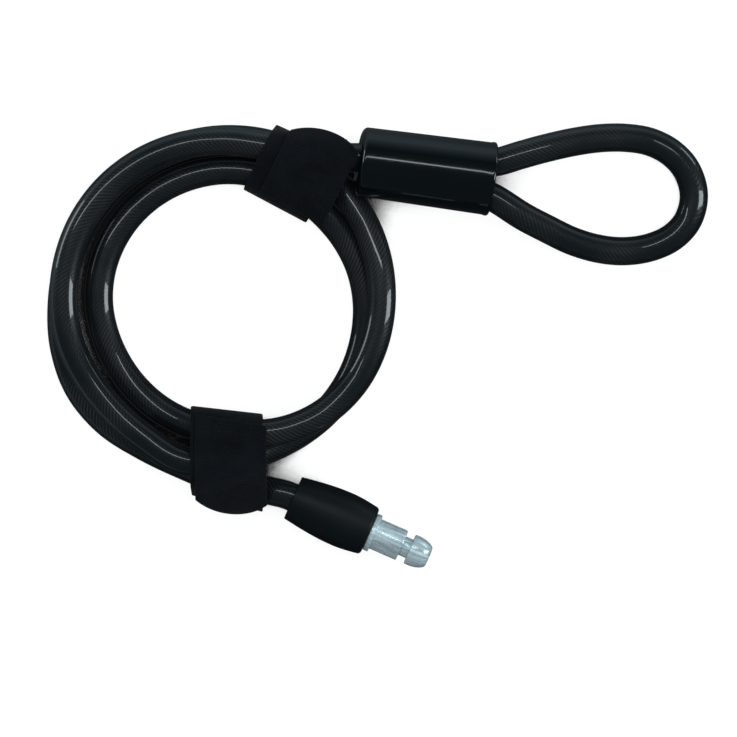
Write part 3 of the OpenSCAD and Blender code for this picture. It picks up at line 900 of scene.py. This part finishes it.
class CABLELOCK_OT_boot(bpy.types.Operator):
    """Build the moulded boot behind the pin"""

    bl_idname = "cable_lock.boot"
    bl_label = "Boot"

    def execute(self, context):
        edge, rear, peak = 1.6, BOOT_D_REAR / 2, 0.64 * BOOT_L
        top, face = BOOT_D_MAX / 2, BOOT_D_FACE / 2
        cable, socket = 6.4, BARREL_D / 2 + SEAT_GAP
        k = np.linspace(0, 1, 17)
        swell = np.stack([rear + (top - rear) * np.sin(k * np.pi / 2), 0.5 - BOOT_L + (peak - 0.5) * k], 1)
        k = np.linspace(0, 1, 11)[1:]
        fall = np.stack([top - (top - face) * (1 - np.cos(k * np.pi / 2)),
                         peak - BOOT_L + (BOOT_L - peak - edge) * k], 1)
        profile = np.vstack([
            level((cable + 0.4, -BOOT_L)),
            level(arc((rear - 0.5, 0.5 - BOOT_L), 0.5, -90, 0, 4)),
            level(swell[1:]), level(fall),
            level(arc((face - edge, -edge), edge, 0, 90, 9)[1:]),
            level([(socket + 0.3, 0), (socket, -0.3), (socket, -11), (socket, -BARREL_L - 2 * SEAT_GAP),
                   (cable, -BARREL_L - 2 * SEAT_GAP - 0.3), (cable, -29), (cable, 0.4 - BOOT_L)])])
        dress(turned("boot_grip", profile, boot_at), boot_finish(), "lock", "plug_boot")
        return {"FINISHED"}


class CABLELOCK_OT_pin(bpy.types.Operator):
    """Build the turned plug pin"""

    bl_idname = "cable_lock.pin"
    bl_label = "Pin"

    # Diameter and length of each part, and the diameter of the head's flat end
    flange = (16.4, 2.3)
    shank = (13.4, 12.3)
    neck = (8.4, 3.6)
    head = (13.2, 8.8)
    nose = 6.8

    def execute(self, context):
        barrel = BARREL_D / 2
        parts = np.array([self.flange, self.shank, self.neck, self.head])
        flange, shank, neck, head = parts[:, 0] / 2
        s1, s2, s3, tip = SEAT_GAP + np.cumsum(parts[:, 1])
        bore = ROPE_BORE / MM
        k = np.linspace(0, 1, 13)[1:]
        # The head swells out of a short rim and rounds over to the flat nose
        dome = np.stack([self.nose / 2 + (head - self.nose / 2) * np.cos(k * np.pi / 2) ** 0.9,
                         s3 + 2.2 + (tip - s3 - 2.2) * np.sin(k * np.pi / 2) ** 1.25], 1)
        profile = np.vstack([
            level([(0, -1.0), (bore, -1.0), (bore, 0.4 - BARREL_L), (bore + 0.4, -BARREL_L)]),
            level([(barrel - 0.5, -BARREL_L), (barrel, 0.5 - BARREL_L), (barrel, -12), (barrel, 0)]),
            level([(barrel, SEAT_GAP)]),
            level(arc((flange - 0.3, SEAT_GAP + 0.3), 0.3, -90, 0, 4)),
            level(arc((flange - 0.3, s1 - 0.3), 0.3, 0, 90, 4)),
            level(arc((shank + 0.3, s1 + 0.3), 0.3, 270, 180, 4)),
            level([(shank, s1 + 4), (shank, s1 + 8)]),
            level(arc((shank - 0.45, s2 - 0.45), 0.45, 0, 90, 5)),
            level(arc((neck + 0.35, s2 + 0.35), 0.35, 270, 180, 4)),
            level(arc((neck + 0.35, s3 - 0.35), 0.35, 180, 90, 4)),
            level(arc((head - 0.5, s3 + 0.5), 0.5, -90, 0, 5)),
            level([(head, s3 + 2.2)]),
            level(dome), level([(0.6 * self.nose / 2, tip), (0, tip)])])
        piece = turned("turned_pin", profile, boot_at, closed=False)
        dress(piece, plating_finish(), "lock", "plug_pin")
        return {"FINISHED"}


# -------------------- straps


def band_piece(key):
    """The band of a strap: the tape's outline carried round its belt, in four rows to a rib of the weave."""
    strap = STRAPS[key]
    half, thick = sizes().tape_width / MM / 2, sizes().tape_thickness / MM
    u, h = tape_section(half, thick)
    middle = np.zeros(1)
    long = belt(strap["band"], middle, middle + BELT_R + TAPE_T / 2, np.zeros(1))[1][0]
    ribs = int(round(long / (sizes().rib_pitch / MM)))
    f = np.arange(ribs * 4) / (ribs * 4)
    x = u * half
    points, _ = belt(strap["band"], x, BELT_R + TAPE_T / 2 + h, f)
    grid = on_strap(strap, x[None], points[..., 0], points[..., 1])
    uv = uv_grid(np.append(x, x[0]) * MM, np.append(f, 1.0) * long * MM)
    piece = skin(f"{key}_band_tape", grid, uv)
    dress(piece, tape_finish(), "lock", f"{key}_strap_band")


def tail_grid(strap, u, h, f, radius, reach=(0.0, 1.0)):
    """Points of a tail or of what is on it, and their UV coordinates: across the tape, at heights over a
    radius and at fractions of its length, which the round tip shortens by r - sqrt(r^2 - x^2)."""
    x = u * sizes().tape_width / MM / 2
    cut = strap["tip"] - np.sqrt(strap["tip"] ** 2 - x ** 2)
    s = (strap["long"] - cut)[None] * (reach[0] + (reach[1] - reach[0]) * f)[:, None]
    dip = PAD_T * np.maximum(0, 1 - s / (strap["long"] * 2 / TAIL_STEPS))
    r = radius + h[None] * np.ones_like(s) - dip
    across = x + strap["shift"]
    points = tail(strap["tail"], across, r, s)
    uv = np.stack(np.broadcast_arrays(np.append(x, x[0])[None], np.append(s, s[:, :1], 1)), -1) * MM
    return on_strap(strap, across[None], points[..., 0], points[..., 1]), uv


def tail_piece(key):
    """The tail of a strap: the tape's outline carried along it, drawn together at both ends."""
    strap = STRAPS[key]
    thick = sizes().tape_thickness / MM
    u, h = tape_section(sizes().tape_width / MM / 2, thick)
    rows = int(strap["long"] / (sizes().rib_pitch / MM)) * 4
    f = np.linspace(0, 1, rows)
    # Half-round ends: the thickness closes over the last half thickness of the length
    end = thick / 2 / strap["long"]
    a = np.radians([0, 30, 60])
    f = np.concatenate([[0], end * (1 - np.cos(a[1:])), f[(f > end) & (f < 1 - end)],
                        1 - end * (1 - np.cos(a[1:][::-1])), [1]])
    full = np.sqrt(np.clip(1 - ((np.maximum(end - f, 0) + np.maximum(f - 1 + end, 0)) / end) ** 2, 0, 1))
    grid, uv = tail_grid(strap, u, h, f, TAIL_R + TAPE_T / 2)
    flat, _ = tail_grid(strap, u, 0 * h, f, TAIL_R + TAPE_T / 2)
    grid = flat + (grid - flat) * full[:, None, None]
    # The face points keep their place across, so the two faces meet point for point at the ends
    piece = skin(f"{key}_tail_tape", grid, uv, closed=False)
    return dress(piece, tape_finish(), f"{key}_tail", f"{key}_strap_tail")


class CABLELOCK_OT_bands(bpy.types.Operator):
    """Build the two strap bands round the cables"""

    bl_idname = "cable_lock.bands"
    bl_label = "Strap bands"

    def execute(self, context):
        for key in STRAPS:
            band_piece(key)
        return {"FINISHED"}


class CABLELOCK_OT_tails(bpy.types.Operator):
    """Build the two strap tails with their hook pads and stitches"""

    bl_idname = "cable_lock.tails"
    bl_label = "Strap tails"

    def execute(self, context):
        for key in STRAPS:
            piece = tail_piece(key)
            pad = self.pad(key)
            hooks = self.hooks(key)
            stitches = self.stitches(key)
            STRAPS[key]["long"] * MM
        return {"FINISHED"}

    def pad(self, key):
        """The pad's backing: a thin sheet under the tail's tip, whose two faces meet at each end."""
        count, edge = 20, 3
        u, h = tape_section(PAD_SHARE * TAPE_W / 2, BACK_T, count, edge)
        f = np.linspace(0, 1, 40)
        radius = TAIL_R - SEWN_GAP - BACK_T / 2
        grid, uv = tail_grid(STRAPS[key], PAD_SHARE * u, h, f, radius, PAD_REACH)
        upper = np.arange(count)
        under = 2 * count + edge - 1 - upper
        for row in (0, -1):
            middle = (grid[row, upper] + grid[row, under]) / 2
            grid[row, upper], grid[row, under] = middle, middle
        piece = skin(f"{key}_pad_backing", grid, uv, closed=False)
        return dress(piece, hook_finish(), f"{key}_tail", f"{key}_hook_pad")

    def hooks(self, key):
        """Rows of small hooks under the pad: a bent post of three square rings each."""
        strap = STRAPS[key]
        pitch, side, margin = sizes().hook_pitch / MM, 10.5, 0.8
        share = PAD_REACH[1] - PAD_REACH[0]
        long = strap["long"] * share
        f, x = np.meshgrid(np.arange(pitch / 2, long - margin, pitch) / long,
                           np.arange(-side, side + 0.1, pitch), indexing="ij")
        f, x = f.ravel(), x.ravel()
        radius = TAIL_R - SEWN_GAP - BACK_T
        cut = strap["tip"] - np.sqrt(strap["tip"] ** 2 - x ** 2)

        def spot(df, dh):
            s = (strap["long"] - cut) * (PAD_REACH[0] + share * f) + df
            p = tail(strap["tail"], x + strap["shift"], np.full(len(x), radius + dh), s)
            return on_strap(strap, x + strap["shift"], p[:, 0], p[:, 1])
        origin, ahead, below = spot(0, 0), spot(0.1, 0), spot(0, -0.1)
        e1, e3 = unit(ahead - origin), unit(below - origin)
        axes = np.stack([e1, np.cross(e3, e1), e3], 1) * MM
        ring = np.array([(-1, -1), (1, -1), (1, 1), (-1, 1)]) * 0.11
        levels = [(0.0, 0.0, 1.3), (0.0, 0.25, 0.9), (0.12, 0.38, 0.9), (0.30, 0.36, 0.6)]
        template = np.vstack([np.column_stack([mx + ring[:, 0] * w, ring[:, 1] * w, np.full(4, z)])
                              for mx, z, w in levels])
        template[-4:, 0] = 0.30
        template[-4:, 2] = [0.40, 0.40, 0.28, 0.28]
        template[-4:, 1] = [-0.07, 0.07, 0.07, -0.07]
        faces = np.array(walls(4, 3) + [(3, 2, 1, 0), (12, 13, 14, 15)])
        piece = copies(f"{key}_hooks", template, faces, origin, axes)
        return dress(piece, hook_finish(), f"{key}_tail")

    def stitches(self, key):
        """Two rows of stitches across the tail near its root: short rounded bars that lie in the tape."""
        strap = STRAPS[key]
        pitch, side, rows = 2.4, 12.0, (3.0, 6.0)
        x = np.concatenate([np.arange(-side, side + 0.1, pitch)] * len(rows))
        s = np.repeat(rows, len(x) // len(rows))
        r = np.full(len(x), TAIL_R + TAPE_T + 0.02)
        dip = PAD_T * np.maximum(0, 1 - s / (strap["long"] * 2 / TAIL_STEPS))

        def spot(dx, ds, dr):
            p = tail(strap["tail"], x + dx + strap["shift"], r - dip + dr, s + ds)
            return on_strap(strap, x + dx + strap["shift"], p[:, 0], p[:, 1])
        origin = spot(0, 0, 0)
        e1 = unit(spot(0.1, 0, 0) - origin)
        e2 = spot(0, 0.1, 0) - origin
        e2 = unit(e2 - (e2 * e1).sum(1)[:, None] * e1)
        axes = np.stack([e1, e2, np.cross(e1, e2)], 1) * MM
        a = np.radians(np.arange(0, 360, 60))
        along = np.array([-0.95, -0.75, 0.0, 0.75, 0.95])
        width = np.array([0.05, 0.13, 0.15, 0.13, 0.05])
        height = np.array([-0.12, 0.0, 0.03, 0.0, -0.12])
        template = np.vstack([np.column_stack([np.full(6, p), w * np.cos(a), z + w * np.sin(a)])
                              for p, w, z in zip(along, width, height)])
        caps = [(0, 3, 2, 1), (0, 5, 4, 3), (24, 25, 26, 27), (24, 27, 28, 29)]
        piece = copies(f"{key}_stitches", template, np.array(walls(6, 4) + caps), origin, axes)
        return dress(piece, thread_finish(), f"{key}_tail")


# -------------------- panel and running order

STEPS = (CABLELOCK_OT_stage, CABLELOCK_OT_boot, CABLELOCK_OT_pin, CABLELOCK_OT_cable,
         CABLELOCK_OT_eye, CABLELOCK_OT_rope, CABLELOCK_OT_cover, CABLELOCK_OT_bands,
         CABLELOCK_OT_tails)


class CABLELOCK_PT_panel(bpy.types.Panel):
    """Sizes, colours and building steps of the cable lock"""

    bl_idname = "CABLELOCK_PT_panel"
    bl_label = "Cable lock"
    bl_space_type = "VIEW_3D"
    bl_region_type = "UI"
    bl_category = "Cable lock"

    def draw(self, context):
        for group in (context.scene.cable_lock_sizes, context.scene.cable_lock_colours):
            box = self.layout.box()
            for name in group.__annotations__:
                box.prop(group, name)
        for step in STEPS:
            self.layout.operator(step.bl_idname)


CLASSES = (CableLockSizes, CableLockColours, *STEPS, CABLELOCK_PT_panel)


def register():
    """Register the classes and hang the two groups of values on the scene."""
    for cls in CLASSES:
        bpy.utils.register_class(cls)
    bpy.types.Scene.cable_lock_sizes = bpy.props.PointerProperty(type=CableLockSizes)
    bpy.types.Scene.cable_lock_colours = bpy.props.PointerProperty(type=CableLockColours)


def unregister():
    """Take back what register does."""
    del bpy.types.Scene.cable_lock_colours
    del bpy.types.Scene.cable_lock_sizes
    for cls in reversed(CLASSES):
        bpy.utils.unregister_class(cls)


def main():
    """Register the classes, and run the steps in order."""
    register()
    bpy.ops.cable_lock.stage()
    bpy.ops.cable_lock.boot()
    bpy.ops.cable_lock.pin()
    bpy.ops.cable_lock.cable()
    bpy.ops.cable_lock.eye()
    bpy.ops.cable_lock.rope()
    bpy.ops.cable_lock.cover()
    bpy.ops.cable_lock.bands()
    bpy.ops.cable_lock.tails()


if __name__ == "__main__":
    main()
